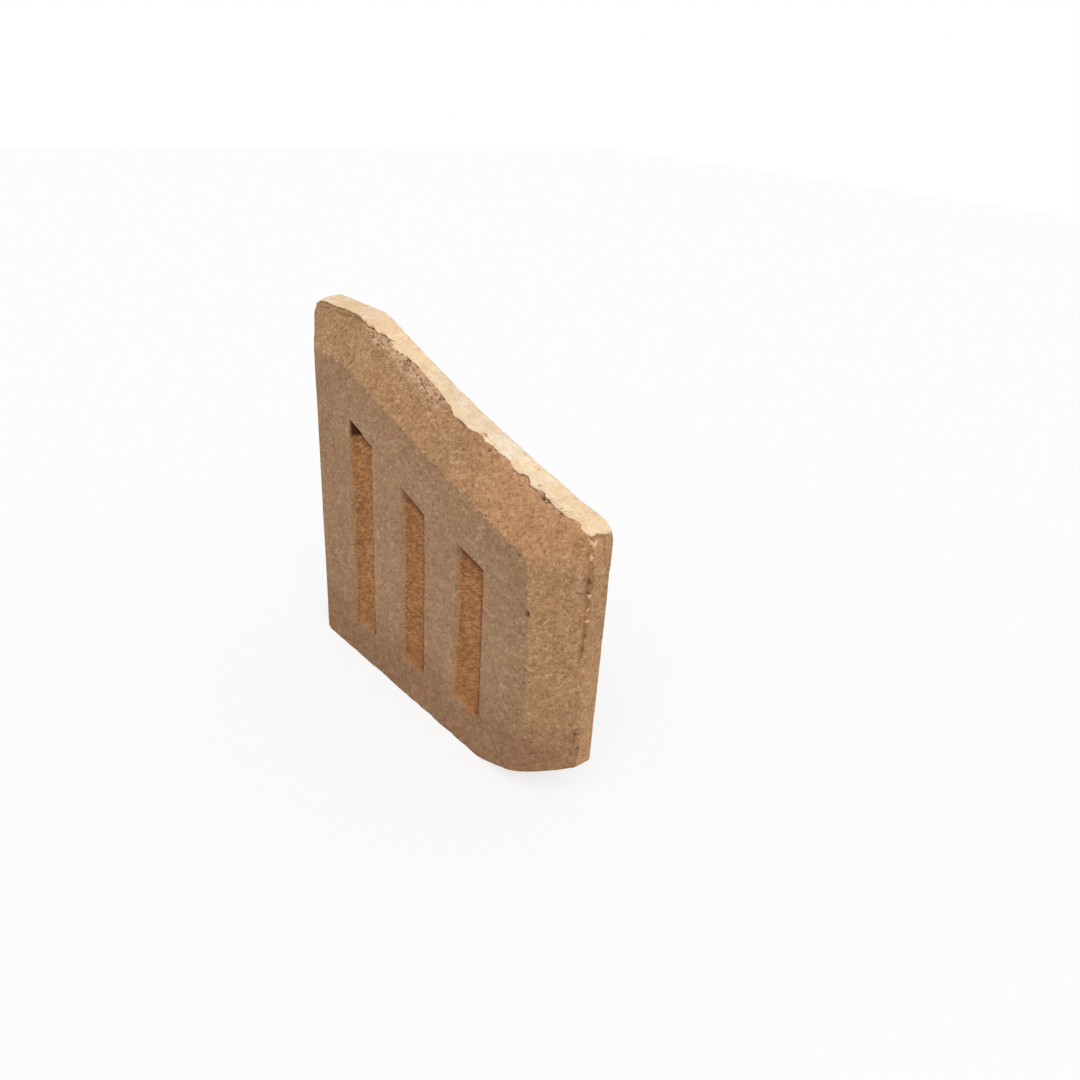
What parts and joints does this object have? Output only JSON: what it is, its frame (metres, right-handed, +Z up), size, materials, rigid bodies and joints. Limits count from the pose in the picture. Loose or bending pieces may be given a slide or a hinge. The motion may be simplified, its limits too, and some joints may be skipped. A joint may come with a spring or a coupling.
{
  "type": "refractory firebrick",
  "caption": "Thin upright moulded firebrick, tall at one end, with a sagging sloped top, bevelled edges round its slotted face, slanted-top recesses and a curved-up toe.",
  "frame": {"origin": "middle of the brick's length and thickness, on the flat underside it stands on", "axes": "+X along the brick towards its low end, +Y out of the flat rear face (the slotted, bevelled face looks to -Y), +Z up"},
  "size_m": [0.23, 0.028, 0.2025],
  "materials": {
    "refractory": "unglazed, gritty, matte"
  },
  "bodies": {
    "root": {"firebrick": "refractory"}
  },
  "joints": []
}
